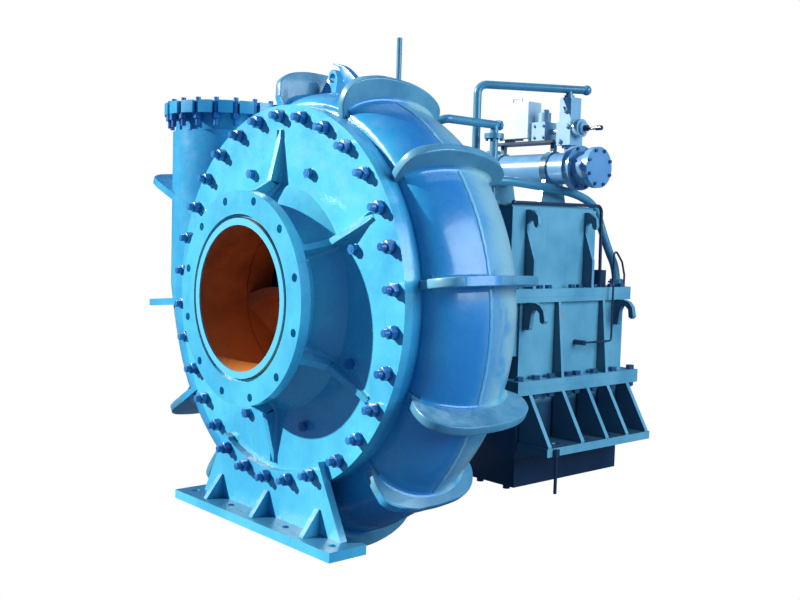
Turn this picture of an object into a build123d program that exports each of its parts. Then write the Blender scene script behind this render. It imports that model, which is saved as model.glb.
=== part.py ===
from build123d import *
import os
from math import cos, sin, tan, radians, degrees, pi, sqrt, acos, atan2

os.makedirs("parts", exist_ok=True)

# Sizes in millimetres. The shaft lies along Y, the suction flange face is y = 0, the shaft axis is z = 0.
F = 152.0                 # front face of the cover, behind the suction flange face
suction_flange_r = 335.0
suction_flange_thick = 34.0
suction_pcd_r = 310.0
suction_hole_r = 13.0
suction_holes = 12
bore_r = 228.0
cover_r = 610.0
cover_thick = 30.0
stud_circle_r = 575.0
stud_count = 30
stud_r = 12.0
nut_af = 36.0
neck_r = 286.0
rib_thick = 20.0
case_front = F + 65.0     # where the volute shoulder starts
case_mid = F + 267.5      # middle of the volute width
case_half = 202.5
wall = 32.0
eye_open_r = 480.0        # front and back openings of the volute
ring_r = 640.0            # smallest round body of the volute
pipe_x = -730.0
pipe_y = F + 267.5
pipe_r = 215.0
pipe_bore_r = 180.0
pipe_step_z = 578.0
pipe_top_z = 681.0
out_flange_r = 248.0
out_flange_thick = 45.0
out_slots = 20
foot_z = -730.0           # underside of the front foot
foot_half = 440.0
shaft_r = 75.0
neck_run_r = 253.0         # bore of the front wear plate, round the impeller's neck
gear_module = 12.5
wheel_teeth = 30
pinion_teeth = 22
centre_distance = gear_module * (wheel_teeth + pinion_teeth) / 2
pinion_z = -centre_distance
gear_y = F + 1085.0       # middle of the gear pair
gear_wide = 90.0
mid_half = 250.0          # gearbox middle and lower housings, half width
mid_y0 = F + 882.0
mid_y1 = F + 1497.0
up_half = 225.0           # gearbox upper housing, half width
up_y0 = F + 852.0
up_y1 = F + 1332.0
up_top = 325.0
box_wall = 16.0
low_flange_half = 300.0
low_flange_thick = 25.0
split_half = 270.0
split_y1 = F + 1517.0
sump_split_z = -592.0
sump_z = -698.0
cooler_y = F + 1200.0
cooler_z = 482.0
cooler_r = 60.0


def save(name, *solids):
    kids = []
    for s in solids:
        kids.extend(s.solids() if hasattr(s, "solids") else list(s))
    shape = kids[0] if len(kids) == 1 else Compound(children=kids)
    shape.label = name
    export_step(shape, "parts/" + name + ".step")


def disc(r, y0, y1, x=0.0, z=0.0):
    return Pos(x, (y0 + y1) / 2, z) * Cylinder(r, y1 - y0, rotation=(90, 0, 0))


def ring(ro, ri, y0, y1, x=0.0, z=0.0):
    return disc(ro, y0, y1, x, z) - disc(ri, y0 - 1, y1 + 1, x, z)


def rod_z(r, z0, z1, x, y):
    return Pos(x, y, (z0 + z1) / 2) * Cylinder(r, z1 - z0)


def rod_x(r, x0, x1, y, z):
    return Pos((x0 + x1) / 2, y, z) * Cylinder(r, x1 - x0, rotation=(0, 90, 0))


def block(x0, x1, y0, y1, z0, z1):
    return Pos((x0 + x1) / 2, (y0 + y1) / 2, (z0 + z1) / 2) * Box(x1 - x0, y1 - y0, z1 - z0)


def turned(pts, x=0.0, z=0.0):
    face = make_face(Polyline(*[(r, y) for y, r in pts], close=True))
    return Pos(x, 0, z) * revolve(face, Axis.Y)


def plate_y(pts, y0, y1):
    plane = Plane(origin=(0, y1, 0), x_dir=(1, 0, 0), z_dir=(0, -1, 0))
    return extrude(plane * make_face(Polyline(*pts, close=True)), y1 - y0)


def plate_x(pts, x0, x1):
    plane = Plane(origin=(x0, 0, 0), x_dir=(0, 1, 0), z_dir=(1, 0, 0))
    return extrude(plane * make_face(Polyline(*pts, close=True)), x1 - x0)


def hex_y(af, y0, y1, x=0.0, z=0.0):
    plane = Plane(origin=(x, y0, z), x_dir=(1, 0, 0), z_dir=(0, 1, 0))
    return extrude(plane * RegularPolygon(af / 2, 6, major_radius=False), y1 - y0)


def hex_z(af, z0, z1, x, y):
    plane = Plane(origin=(x, y, z0))
    return extrude(plane * RegularPolygon(af / 2, 6, major_radius=False), z1 - z0)


def hex_x(af, x0, x1, y, z):
    plane = Plane(origin=(x0, y, z), x_dir=(0, 1, 0), z_dir=(1, 0, 0))
    return extrude(plane * RegularPolygon(af / 2, 6, major_radius=False), x1 - x0)


def radial(theta):
    t = radians(theta)
    return Plane(origin=(0, 0, 0), x_dir=(0, 1, 0), z_dir=(sin(t), 0, -cos(t)))


def radial_plate(theta, pts, thick):
    face = radial(theta) * make_face(Polyline(*pts, close=True))
    return extrude(face, thick / 2, both=True)


def circle_points(r, count, first):
    out = []
    for k in range(count):
        a = radians(first + 360.0 * k / count)
        out.append((r * cos(a), r * sin(a)))
    return out


def pipe_run(pts, r, bend, hollow=0.0):
    path = FilletPolyline(*pts, radius=bend) if len(pts) > 2 else Line(*pts)
    start = Plane(origin=path @ 0, z_dir=path % 0)
    body = sweep(start * Circle(r), path=path)
    if hollow > 0:
        body = body - sweep(start * Circle(hollow), path=path)
    return body


# Volute casing
sections = [
    (125.0, 650.0, 45.0), (98.0, 664.0, 52.0), (67.0, 680.0, 62.0), (37.5, 690.0, 70.0), (7.0, 706.0, 78.0),
    (-23.5, 726.0, 92.0), (-50.0, 752.0, 118.0), (-77.0, 780.0, 140.0), (-104.0, 808.0, 165.0),
    (-130.0, 850.0, 188.0), (-155.0, 898.0, 205.0), (-180.0, 945.0, 215.0)]


def section_wire(theta, big_r, b, inset):
    half = case_half + (12.5 if theta <= -179 else max(0.0, (-theta - 104.0)) * 12.5 / 76.0) - inset
    low = 430.0
    top = big_r - inset
    deep = max(b - inset, 12.0)
    shoulder = top - deep
    plane = radial(theta)
    a = (case_mid - half, shoulder)
    c = (case_mid + half, shoulder)
    arc = Pos(case_mid, shoulder) * EllipticalCenterArc((0, 0), half, deep, start_angle=0, arc_size=180)
    front = Line(a, (case_mid - half, low))
    inner = Line((case_mid - half, low), (case_mid + half, low))
    back = Line((case_mid + half, low), c)
    return plane * make_face([arc, front, inner, back])


def volute_solid(inset):
    faces = [section_wire(t, r, b, inset) for t, r, b in sections]
    return loft(faces)


def fin(theta, big_r):
    pts = [(F + 62, 596), (F + 46, big_r - 92), (F + 52, big_r - 46), (F + 70, big_r - 26), (F + 95, big_r - 12),
           (F + 150, big_r), (F + 205, big_r + 1), (F + 255, big_r - 3), (F + 305, big_r - 11), (F + 350, big_r - 24),
           (F + 385, big_r - 40), (F + 415, big_r - 60), (F + 436, big_r - 84), (F + 446, big_r - 112),
           (F + 448, 600)]
    return radial_plate(theta, pts, 26.0)


fins = [(98.0, 746.0), (67.5, 747.0), (37.5, 752.0), (7.0, 772.0), (-23.5, 794.0), (-50.0, 788.0), (-77.0, 826.0),
        (-104.0, 832.0), (-126.0, 890.0), (-148.0, 952.0), (-175.0, 1002.0), (157.0, 1058.0)]


def volute_casing():
    body = volute_solid(0.0)
    parts = [turned([(case_front - 1.5, 300), (case_front - 1.5, ring_r - 40), (case_front + 40, ring_r),
                     (F + 420, ring_r), (F + 471.5, ring_r - 50), (F + 471.5, 300)])]
    parts.append(rod_z(pipe_r, 0, pipe_step_z, pipe_x, pipe_y))
    for theta, big_r in fins:
        parts.append(fin(theta, big_r))
    parts.append(ring(cover_r, 310, F + cover_thick, case_front + 11))
    parts.append(rod_z(pipe_r - 10, pipe_step_z - 1, pipe_top_z - out_flange_thick + 1, pipe_x, pipe_y))
    parts.append(rod_z(out_flange_r, pipe_top_z - out_flange_thick, pipe_top_z, pipe_x, pipe_y))
    parts.append(rod_z(24, 560, 690, 100, F + 400))
    parts.extend(lifting_hooks())
    body = body + parts
    cave = volute_solid(wall)
    cave = cave + [disc(ring_r - 50, case_front + 33.5, F + 470 - wall - 1.7), disc(eye_open_r, F + 20, F + 490),
                   rod_z(pipe_bore_r, 0, pipe_top_z + 5, pipe_x, pipe_y)]
    body -= cave
    holes = [disc(stud_r, F + 25, F + 62, x, z) for x, z in circle_points(stud_circle_r, stud_count, 90)]
    holes += [disc(10.2, F + 452, F + 480, x, z) for x, z in circle_points(505, 20, 0)]
    holes.append(disc(556, F + 470, F + 500))
    holes.append(rod_z(9.0, 560, 700, 100, F + 400))
    for k in range(out_slots):
        a = 360.0 * (k + 0.5) / out_slots
        at = Pos(pipe_x, pipe_y, pipe_top_z - 22) * Rot(0, 0, a)
        holes.append(at * Pos(out_flange_r, 0, 0) * Box(48, 24, 60))
        holes.append(at * Pos(out_flange_r - 24, 0, 0) * Cylinder(12, 60))
    return body - holes


# Front cover with the suction flange and six ribs
def front_cover():
    body = turned([(F - 152, 252), (F - 152, suction_flange_r), (F - 152 + suction_flange_thick, suction_flange_r),
                   (F - 152 + suction_flange_thick, neck_r), (F - 70, neck_r + 2), (F - 34, 330), (F - 8, 430),
                   (F, 470), (F, cover_r), (F + cover_thick, cover_r), (F + cover_thick, 252)])
    ribs = []
    for k in range(6):
        pts = [(F + 5, 300), (F + 5, 536), (F - 2, 534), (F - 43, 371), (F - 97, 339), (F - 119, 334), (F - 119, 270)]
        ribs.append(radial_plate(90.0 + 60.0 * k, pts, rib_thick))
    body = body + ribs
    holes = [disc(252, F - 160, F + 40), ring(262, 250, F - 160, F - 152 + 14), disc(6, F - 4, F + 12, 548, -55)]
    for x, z in circle_points(suction_pcd_r, suction_holes, 75):
        holes.append(disc(suction_hole_r, F - 160, F - 100, x, z))
    for x, z in circle_points(stud_circle_r, stud_count, 90):
        holes.append(disc(stud_r + 1.0, F - 5, F + 40, x, z))
    for x, z in jack_points():
        holes.append(disc(8.2, F - 60, F + 24, x, z))
        holes.append(disc(18, F - 60, F - 5, x, z))
    return body - holes


def jack_points():
    return [(424 * cos(radians(a)), 424 * sin(radians(a))) for a in (111, 67, 23, -23.5, -66.5, -111)]


def stud_front(x, z):
    # the studs at the bottom also hold the foot plate
    return F - 25.0 if (z < -481 and abs(x) < 265) else F


def cover_studs():
    out = []
    for x, z in circle_points(stud_circle_r, stud_count, 90):
        y = stud_front(x, z)
        out.append(disc(stud_r - 0.4, y - 44, F + 58, x, z))
    return out


def cover_nuts():
    out = []
    for x, z in circle_points(stud_circle_r, stud_count, 90):
        y = stud_front(x, z)
        nut = hex_y(nut_af, y - 26, y - 4, x, z) + disc(21, y - 4, y, x, z)
        out.append(nut - disc(stud_r, y - 30, y + 5, x, z))
    return out


def cover_jack_screws():
    out = []
    for x, z in jack_points():
        out.append(hex_y(28, F - 21, F - 5, x, z) + disc(7.8, F - 22, F + 20, x, z))
    return out


def suction_liner():
    body = turned([(F - 152, bore_r), (F - 152, 249.6), (F + 10, 249.6), (F + 10, 251.6), (F + 31.5, 251.6),
                   (F + 31.5, bore_r)])
    return body


def front_foot():
    y0 = F - 110
    y1 = F + 28
    body = block(-foot_half, foot_half, y0, y1, foot_z, foot_z + 30)
    arc_r = 551.0
    pts = [(-390, foot_z + 20), (390, foot_z + 20), (265, -481), (238, -sqrt(arc_r ** 2 - 238 ** 2) + 8)]
    n = 12
    for k in range(n + 1):
        a = radians(-64.5 - (180 - 129.0) * k / n)
        pts.append((arc_r * cos(a), arc_r * sin(a)))
    pts.append((-238, -sqrt(arc_r ** 2 - 238 ** 2) + 8))
    pts.append((-265, -481))
    body += plate_y(pts, F - 25, F - 0.5)
    for x in (-275, 0, 272):
        tri = [(F - 20, foot_z + 20), (F - 88, foot_z + 20), (F - 88, foot_z + 32), (F - 30, -622), (F - 20, -622)]
        body += plate_x(tri, x - 10, x + 10)
    for x in (-390, -156, 156, 390):
        body -= rod_z(14, foot_z - 5, foot_z + 40, x, F - 58)
    for x, z in circle_points(stud_circle_r, stud_count, 90):
        if z < -481 and abs(x) < 265:
            body -= disc(stud_r + 1.0, F - 40, F + 10, x, z)
    return body


# Wear plates and rotor
def front_wear_plate():
    return turned([(F + 32, neck_run_r), (F + 32, 478), (F + 88, 478), (F + 88, 310), (F + 96, 280),
                   (F + 96, neck_run_r)])


def back_wear_plate():
    body = ring(478, 96, F + 440, F + 469.5)
    for x, z in circle_points(380, 6, 30):
        body -= disc(8.2, F + 455, F + 475, x, z)
    return body


def wear_plate_bolts():
    out = []
    for x, z in circle_points(380, 6, 30):
        out.append(disc(7.8, F + 457, F + 508, x, z) + hex_y(24, F + 508, F + 519, x, z))
    return out


def vane_outline(base, r0, r1, count):
    """Outline of one vane across the shaft: a spiral strip from r0 to r1."""
    inner = []
    outer = []
    for j in range(count + 1):
        r = r0 + (r1 - r0) * j / count
        s = max(0.0, r - 60.0) / 357.0
        a = radians(base + 78.0 * s ** 0.85)
        w = 12.0 + 5.0 * sin(pi * min(1.0, s))
        tx = cos(a + radians(50))
        tz = sin(a + radians(50))
        inner.append((r * cos(a) + w * tz, r * sin(a) - w * tx))
        outer.append((r * cos(a) - w * tz, r * sin(a) + w * tx))
    return inner + outer[::-1]


def impeller():
    body = turned([(F + 96, 0), (F + 101, 24), (F + 125, 46), (F + 170, 68), (F + 235, 90), (F + 290, 108),
                   (F + 395, 118), (F + 428, 118), (F + 428, 0)])
    body += disc(420, F + 400, F + 430)
    body += ring(420, 240, F + 104, F + 130) + ring(neck_run_r - 3, bore_r + 0.5, F + 34.5, F + 131)
    lead = turned([(F + 20, 0), (F + 20, 240), (F + 37, 229), (F + 60, 150), (F + 97, 40), (F + 97, 0)])
    for k in range(4):
        base = 90.0 * k - 1.0
        long_part = plate_y(vane_outline(base, 62.0, 417.0, 10), F + 133, F + 408)
        # the inlet part twists against the turn of the rotor
        twist = []
        for f, y in ((0.0, F + 36), (0.33, F + 68.5), (0.67, F + 101.5), (1.0, F + 134)):
            points = [Vector(x, y, z) for x, z in vane_outline(base - 34.0 * (1.0 - f), 62.0, 238.0, 6)]
            twist.append(Face(Wire.make_polygon(points, close=True)))
        inlet = loft(twist, ruled=True) - lead
        body += long_part - (disc(600, F + 90, F + 450) - disc(419, F + 80, F + 460))
        body += inlet
    body -= disc(60.0, F + 320, F + 450)
    body -= disc(shaft_r - 0.5 + 1.5, F + 427, F + 440)
    return body


def pump_shaft():
    body = turned([(F + 322, 0), (F + 322, 59.6), (F + 430.3, 59.6), (F + 430.3, shaft_r), (F + 800, shaft_r),
                   (F + 800, 85), (F + 1306, 85), (F + 1311, 80), (F + 1311, 0)])
    key = block(-11, 11, gear_y - 60, gear_y + 60, 80, 95)
    return body + key


def shaft_sleeve():
    return ring(92, shaft_r + 0.4, F + 431, F + 700)


# Back cover and stuffing box
def back_cover():
    body = disc(548, F + 470.3, F + 505) + ring(200, 150, F + 500, F + 530)
    holes = [disc(138, F + 460, F + 540)]
    holes += [disc(11.5, F + 460, F + 515, x, z) for x, z in circle_points(505, 20, 0)]
    holes += [disc(9.0, F + 485, F + 515, x, z) for x, z in circle_points(335, 12, 15)]
    holes += [disc(8.6, F + 465, F + 515, x, z) for x, z in circle_points(380, 6, 30)]
    return body - holes


def back_studs():
    out = []
    for x, z in circle_points(505, 20, 0):
        s = disc(9.8, F + 454, F + 540, x, z) + hex_y(30, F + 505, F + 524, x, z)
        out.append(s)
    return out


def stuffing_box():
    body = turned([(F + 471, 96), (F + 471, 137.5), (F + 530.4, 137.5), (F + 530.4, 165), (F + 548, 165),
                   (F + 548, 140), (F + 640, 140), (F + 640, 118.5), (F + 500, 118.5), (F + 500, 96)])
    for x, z in circle_points(128.5, 4, 45):
        body -= disc(5.0, F + 620, F + 645, x, z)
    body -= rod_z(6, 100, 150, 0, F + 570)
    return body


def packing_rings():
    out = []
    for k, y in enumerate((503, 520, 537, 587)):
        out.append(ring(118, 92.6, F + y, F + y + 16))
    return out


def lantern_ring():
    body = ring(117.8, 93, F + 554, F + 586)
    body -= ring(125, 112, F + 562, F + 578)
    return body - [disc(5, F + 552, F + 588, x, z) for x, z in circle_points(106, 6, 0)]


def packing_gland():
    body = turned([(F + 604, 94), (F + 604, 117.8), (F + 648, 117.8), (F + 648, 160), (F + 666, 160), (F + 666, 94)])
    for x, z in circle_points(128.5, 4, 45):
        body -= disc(6.5, F + 640, F + 670, x, z)
    return body


def gland_bolts():
    out = []
    for x, z in circle_points(128.5, 4, 45):
        out.append(disc(4.8, F + 622, F + 692, x, z) + hex_y(19, F + 666, F + 676, x, z))
    return out


# Bearing bracket between the back cover and the gearbox
def bearing_bracket():
    body = turned([(F + 505.3, 300), (F + 505.3, 360), (F + 530, 360), (F + 530, 312), (F + 806, 168), (F + 806, 225),
                   (F + 831.5, 225), (F + 831.5, 160), (F + 815, 148), (F + 806, 148), (F + 540, 290)])
    holes = [block(-420, -80, F + 570, F + 745, -95, 105), block(80, 420, F + 570, F + 745, -95, 105),
             block(-80, 80, F + 545, F + 745, 100, 420)]
    holes += [disc(9.5, F + 500, F + 535, x, z) for x, z in circle_points(335, 12, 15)]
    holes += [disc(8.0, F + 800, F + 840, x, z) for x, z in circle_points(200, 8, 22.5)]
    body = body - holes
    return body + (rod_z(21, 150, 208, 120, F + 700) - disc(196, F + 650, F + 750))


def bracket_bolts():
    out = []
    for x, z in circle_points(335, 12, 15):
        out.append(disc(8.8, F + 488, F + 530.3, x, z) + hex_y(27, F + 530.3, F + 545, x, z))
    return out


def gearbox_bracket_bolts():
    out = []
    for x, z in circle_points(200, 8, 22.5):
        out.append(disc(7.4, F + 800, F + 850, x, z) + hex_y(20, F + 794, F + 806, x, z))
    return out


# Gearbox housings
def shaft_bosses():
    boss = disc(225, F + 832, F + 862) + disc(168, F + 850, F + 930)
    boss += disc(165, F + 1240, F + 1325)
    return boss


def shaft_bores():
    bore = disc(135, F + 820, F + 862) + disc(140, F + 862, F + 935) + disc(100, F + 830, F + 940)
    bore += disc(140, F + 1235, F + 1300) + disc(110, F + 1290, F + 1318)
    return bore


def half_space(z0, z1):
    return block(-700, 700, F + 700, F + 1700, z0, z1)


def gearbox_upper():
    shell = block(-up_half, up_half, up_y0, up_y1, 0.3, up_top)
    hollow = block(-up_half + box_wall, up_half - box_wall, up_y0 + box_wall, up_y1 - box_wall, -10, up_top - 14)
    body = shell + block(-split_half, split_half, F + 832, split_y1, 0.3, 30)
    body -= hollow
    body += shaft_bosses() & half_space(0.3, 400)
    body -= shaft_bores()
    for y in (F + 930, F + 1268):
        for side in (-1, 1):
            body += side_rib(side, up_half - 1, y, 28, 316, 48, 10)
    body += block(-215, 215, up_y0 + 6, up_y1 - 6, up_top - 1, up_top + 12)
    body = body - [rod_z(9.5, -5, 40, x, y) for x, y in split_bolt_points()]
    return body - [disc(7.6, F + 825, F + 852, x, z) for x, z in circle_points(200, 8, 22.5)]


def side_rib(side, x, y, z0, z1, w0, w1):
    pts = [(x, z0), (x + w0, z0), (x + w0, z0 + 105), (x + w1, z1 - 82), (x + w1, z1 - 52), (x + 22, z1 - 40),
           (x + 36, z1 - 42), (x + 44, z1 - 62), (x + 56, z1 - 66), (x + 62, z1 - 52), (x + 58, z1 - 24),
           (x + 42, z1 - 5), (x + 20, z1), (x, z1)]
    if side < 0:
        pts = [(-a, b) for a, b in pts]
    return plate_y(pts, y - 7, y + 7)


def gusset(side, x, y, z0, z1, w0, w1):
    pts = [(x, z0), (x + w0, z0), (x + w1, z1), (x, z1)]
    if side < 0:
        pts = [(-a, b) for a, b in pts]
    return plate_y(pts, y - 7, y + 7)


def lift_hook(side, x, y, z):
    pts = [(x, z), (x + 60, z), (x + 82, z - 8), (x + 98, z - 26), (x + 106, z - 62), (x + 96, z - 72),
           (x + 84, z - 66), (x + 80, z - 36), (x + 66, z - 24), (x + 50, z - 26), (x + 42, z - 42), (x + 36, z - 92),
           (x + 30, z - 100), (x, z - 100)]
    if side < 0:
        pts = [(-a, b) for a, b in pts]
    return plate_y(pts, y - 10, y + 10)


def gearbox_middle():
    z_low = pinion_z + 0.3
    shell = block(-mid_half, mid_half, mid_y0, mid_y1, z_low, 0)
    hollow = block(-mid_half + 18, mid_half - 18, mid_y0 + 18, mid_y1 - 18, z_low - 10, 10)
    body = shell + block(-split_half, split_half, F + 832, split_y1, -20, 0)
    body += block(-low_flange_half, low_flange_half, F + 831, F + 1546, z_low, z_low + low_flange_thick)
    body -= hollow
    body += block(-mid_half + 10, mid_half - 10, F + 1290, F + 1318, -215, -0.0)
    body += block(-mid_half + 10, mid_half - 10, F + 862, F + 884, -215, -19)
    body += shaft_bosses() & half_space(-400, 0)
    body -= shaft_bores()
    for y in (F + 1081, F + 1347):
        for side in (-1, 1):
            body += gusset(side, mid_half - 1, y, z_low + low_flange_thick - 1, -19, 48, 20)
    for y in (F + 905, F + 1432):
        for side in (-1, 1):
            body += lift_hook(side, mid_half - 1, y, -18)
    body += pinion_bosses() & half_space(z_low, 0)
    body -= pinion_bores()
    body = body - [rod_z(9.5, -30, 5, x, y) for x, y in split_bolt_points()]
    body = body - [rod_z(11.0, z_low - 5, z_low + 40, x, y) for x, y in low_bolt_points()]
    body = body - [disc(7.6, F + 825, F + 852, x, z) for x, z in circle_points(200, 8, 22.5)]
    return body - [rod_x(9, mid_half - 30, mid_half + 5, F + 1111, -75), disc(118, F + 1512.05, F + 1560, 0, pinion_z),
                   rod_x(9, mid_half - 30, mid_half + 5, F + 1375, -75),
                   rod_x(8, mid_half - 30, mid_half + 5, F + 1199, -177)]


def pinion_bosses():
    return disc(112, F + 880, F + 950, 0, pinion_z) + disc(112, F + 1425, F + 1512, 0, pinion_z)


def pinion_bores():
    out = disc(90, F + 897, F + 955, 0, pinion_z) + disc(60, F + 890, F + 900, 0, pinion_z)
    return out + disc(90, F + 1420, F + 1520, 0, pinion_z)


def split_bolt_points():
    out = []
    for y in (845, 975, 1025, 1160, 1205, 1295, 1400, 1468):
        out.append((-258, F + y))
        out.append((258, F + y))
    return out


def low_bolt_points():
    out = []
    for y in (860, 950, 1035, 1135, 1185, 1290, 1410, 1525):
        out.append((-277, F + y))
        out.append((277, F + y))
    return out


foot_x = 402.0
foot_top = -528.0
foot_low = -558.0


def gearbox_lower():
    z_top = pinion_z - 0.0
    shell = block(-mid_half, mid_half, mid_y0, mid_y1, sump_split_z, z_top)
    hollow = block(-mid_half + 18, mid_half - 18, mid_y0 + 18, mid_y1 - 18, sump_split_z - 10, z_top + 10)
    body = shell
    body += block(-low_flange_half, low_flange_half, F + 831, F + 1546, z_top - low_flange_thick, z_top)
    body -= hollow
    body += pinion_bosses() & half_space(-700, z_top)
    body -= pinion_bores()
    for side in (-1, 1):
        x0 = min(side * (mid_half - 1), side * foot_x)
        x1 = max(side * (mid_half - 1), side * foot_x)
        body += block(x0, x1, F + 882, F + 1497, foot_low, foot_top)
        for y in (900, 1085, 1230, 1355, 1480):
            pts = [(mid_half - 1, foot_top - 5), (foot_x - 4, foot_top - 5), (foot_x - 4, foot_top + 6),
                   (low_flange_half - 4, z_top - low_flange_thick + 5), (mid_half - 1, z_top - low_flange_thick + 5)]
            if side < 0:
                pts = [(-a, b) for a, b in pts]
            body += plate_y(pts, F + y - 9, F + y + 9)
        for y in (990, 1158, 1293, 1418):
            body -= rod_z(15, foot_low - 5, foot_top + 5, side * 350, F + y)
    body = body - [rod_z(11.0, z_top - 40, z_top + 5, x, y) for x, y in low_bolt_points()]
    body -= disc(118, F + 1512.05, F + 1560, 0, pinion_z)
    body += block(-mid_half + 2, mid_half - 2, mid_y0 + 2, mid_y0 + 36, sump_split_z, sump_split_z + 20)
    body += block(-mid_half + 2, mid_half - 2, mid_y1 - 36, mid_y1 - 2, sump_split_z, sump_split_z + 20)
    for y in (F + 899, F + 1480):
        for x in (-200, -67, 67, 200):
            body -= rod_z(8.0, sump_split_z - 2, sump_split_z + 16, x, y)
    return body


def oil_sump():
    shell = block(-mid_half + 4, mid_half - 4, mid_y0 + 4, mid_y1 - 4, sump_z, sump_split_z - 0.3)
    hollow = block(-mid_half + 36, mid_half - 36, mid_y0 + 36, mid_y1 - 36, sump_z + 14, sump_split_z + 10)
    body = shell - hollow
    for y in (F + 899, F + 1480):
        for x in (-200, -67, 67, 200):
            body -= rod_z(9.0, sump_z - 5, sump_split_z + 5, x, y)
    return body


def sump_bolts():
    out = []
    for y in (F + 899, F + 1480):
        for x in (-200, -67, 67, 200):
            out.append(rod_z(7.8, sump_z - 2, sump_split_z + 14, x, y) + hex_z(24, sump_z - 12, sump_z, x, y))
    return out


def split_bolts():
    out = []
    for x, y in split_bolt_points():
        out.append(rod_z(8.8, -20, 38, x, y) + hex_z(24, 30, 43, x, y))
    return out


def low_bolts():
    out = []
    top = pinion_z + 0.3 + low_flange_thick
    low = pinion_z - low_flange_thick
    for x, y in low_bolt_points():
        b = rod_z(10.0, low - 20, top + 6, x, y) + hex_z(30, top, top + 16, x, y) + hex_z(30, low - 16, low, x, y)
        out.append(b)
    return out


# Bearings, gears and the input shaft
def bearing(bore, outer, y0, y1, z, rolls):
    mid = (bore + outer) / 2
    roll = (outer - bore) * 0.16
    out = [ring(outer, mid + roll + 0.2, y0, y1, 0, z), ring(mid - roll - 0.2, bore, y0, y1, 0, z)]
    for k in range(rolls):
        a = radians(360.0 * k / rolls)
        out.append(disc(roll, y0 + 4, y1 - 4, mid * cos(a), z + mid * sin(a)))
    return out


def front_bearing():
    return bearing(85.05, 139.9, F + 862.4, F + 924, 0, 18)


def rear_bearing():
    return bearing(85.05, 139.9, F + 1242, F + 1299.6, 0, 18)


def front_bearing_cap():
    body = turned([(F + 822, 86.5), (F + 822, 150), (F + 831.8, 150), (F + 831.8, 134.6), (F + 861.8, 134.6),
                   (F + 861.8, 112), (F + 836, 112), (F + 836, 86.5)])
    return body


def involute_gear(teeth, y0, y1, z, first):
    rp = gear_module * teeth / 2
    rb = rp * cos(radians(20))
    ra = rp + gear_module
    rf = rp - 1.25 * gear_module
    inv = tan(radians(20)) - radians(20)
    half = pi / (2 * teeth) - 0.35 / rp
    pts = []
    for k in range(teeth):
        c = radians(first + 360.0 * k / teeth)
        left = []
        n = 5
        r0 = max(rb, rf)
        for j in range(n + 1):
            r = r0 + (ra - r0) * j / n
            phi = acos(min(1.0, rb / r))
            off = half + inv - (tan(phi) - phi)
            left.append((r, off))
        side = [(rf, left[0][1] + 0.004)] + left
        for r, off in side:
            pts.append((r * cos(c - off), r * sin(c - off)))
        for r, off in side[::-1]:
            pts.append((r * cos(c + off), r * sin(c + off)))
    return Pos(0, 0, z) * plate_y(pts, y0, y1)


def drive_gear():
    body = involute_gear(wheel_teeth, gear_y - gear_wide / 2, gear_y + gear_wide / 2, 0, -90)
    body += disc(120, gear_y - 65, gear_y + 65)
    body -= disc(85.3, gear_y - 80, gear_y + 80)
    body -= block(-11.3, 11.3, gear_y - 80, gear_y + 80, 0, 95.5)
    for x, z in circle_points(142, 6, 0):
        body -= disc(13, gear_y - 60, gear_y + 60, x, z)
    return body


def pinion_shaft():
    half_tooth = 90.0 + 180.0 / pinion_teeth
    body = involute_gear(pinion_teeth, gear_y - gear_wide / 2 - 5, gear_y + gear_wide / 2 + 5, pinion_z, half_tooth)
    body += turned([(F + 898, 0), (F + 898, 50), (F + 962, 50), (F + 962, 70), (F + 1400, 70), (F + 1400, 55),
                    (F + 1492, 55), (F + 1492, 50), (F + 1622, 50), (F + 1626, 46), (F + 1626, 0)], 0, pinion_z)
    body += block(-7, 7, F + 1540, F + 1618, pinion_z + 42, pinion_z + 55)
    return body


def pinion_bearings():
    return bearing(50.05, 89.9, F + 900.4, F + 946, pinion_z, 12) + bearing(55.05, 89.9, F + 1428, F + 1478, pinion_z, 12)


def input_seal_cap():
    body = turned([(F + 1479, 62), (F + 1479, 89.6), (F + 1512.3, 89.6), (F + 1512.3, 112), (F + 1526, 112),
                   (F + 1526, 51.5), (F + 1512, 51.5), (F + 1512, 62)], 0, pinion_z)
    return body


def input_coupling():
    body = disc(84, F + 1532, F + 1602, 0, pinion_z) + disc(140, F + 1600, F + 1630, 0, pinion_z)
    body -= disc(50.3, F + 1530, F + 1626.3, 0, pinion_z)
    body -= disc(62, F + 1626, F + 1640, 0, pinion_z)
    body -= block(-7.3, 7.3, F + 1530, F + 1626.3, pinion_z, pinion_z + 55.5)
    return body - [disc(9, F + 1590, F + 1640, x, pinion_z + z) for x, z in circle_points(115, 8, 0)]


# Discharge flange bolts, hooks, vent pipe
def discharge_bolts():
    out = []
    r = out_flange_r - 22
    low = pipe_top_z - out_flange_thick
    for k in range(out_slots):
        a = radians(360.0 * (k + 0.5) / out_slots)
        x = pipe_x + r * cos(a)
        y = pipe_y + r * sin(a)
        out.append(rod_z(9, low - 46, pipe_top_z + 12, x, y) + hex_z(28, low - 20, low, x, y))
    return out


def lifting_hooks():
    horn = [(166, 749), (190, 745), (226, 733), (263, 711), (286, 690), (302, 668), (296, 640), (240, 650),
            (231, 672), (226, 692), (214, 712), (196, 738)]
    front = plate_y(horn[::-1], F + 60, F + 82)
    lug = plate_y([(-66, 660), (24, 660), (20, 720), (2, 752), (-22, 760), (-46, 750), (-60, 722)], F + 215, F + 240)
    lug -= disc(16, F + 200, F + 260, -22, 722)
    return [front, lug]


def vent_pipe():
    return pipe_run([(100, F + 400, 600), (100, F + 400, 866)], 8.8, 10, 5.5)


# Cooling and lubrication gear on top of the gearbox
lid_z = up_top + 12.3


def turned_x(pts):
    face = make_face(Polyline(*pts, close=True))
    return Pos(0, cooler_y, cooler_z) * revolve(face, Axis.X)


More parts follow.
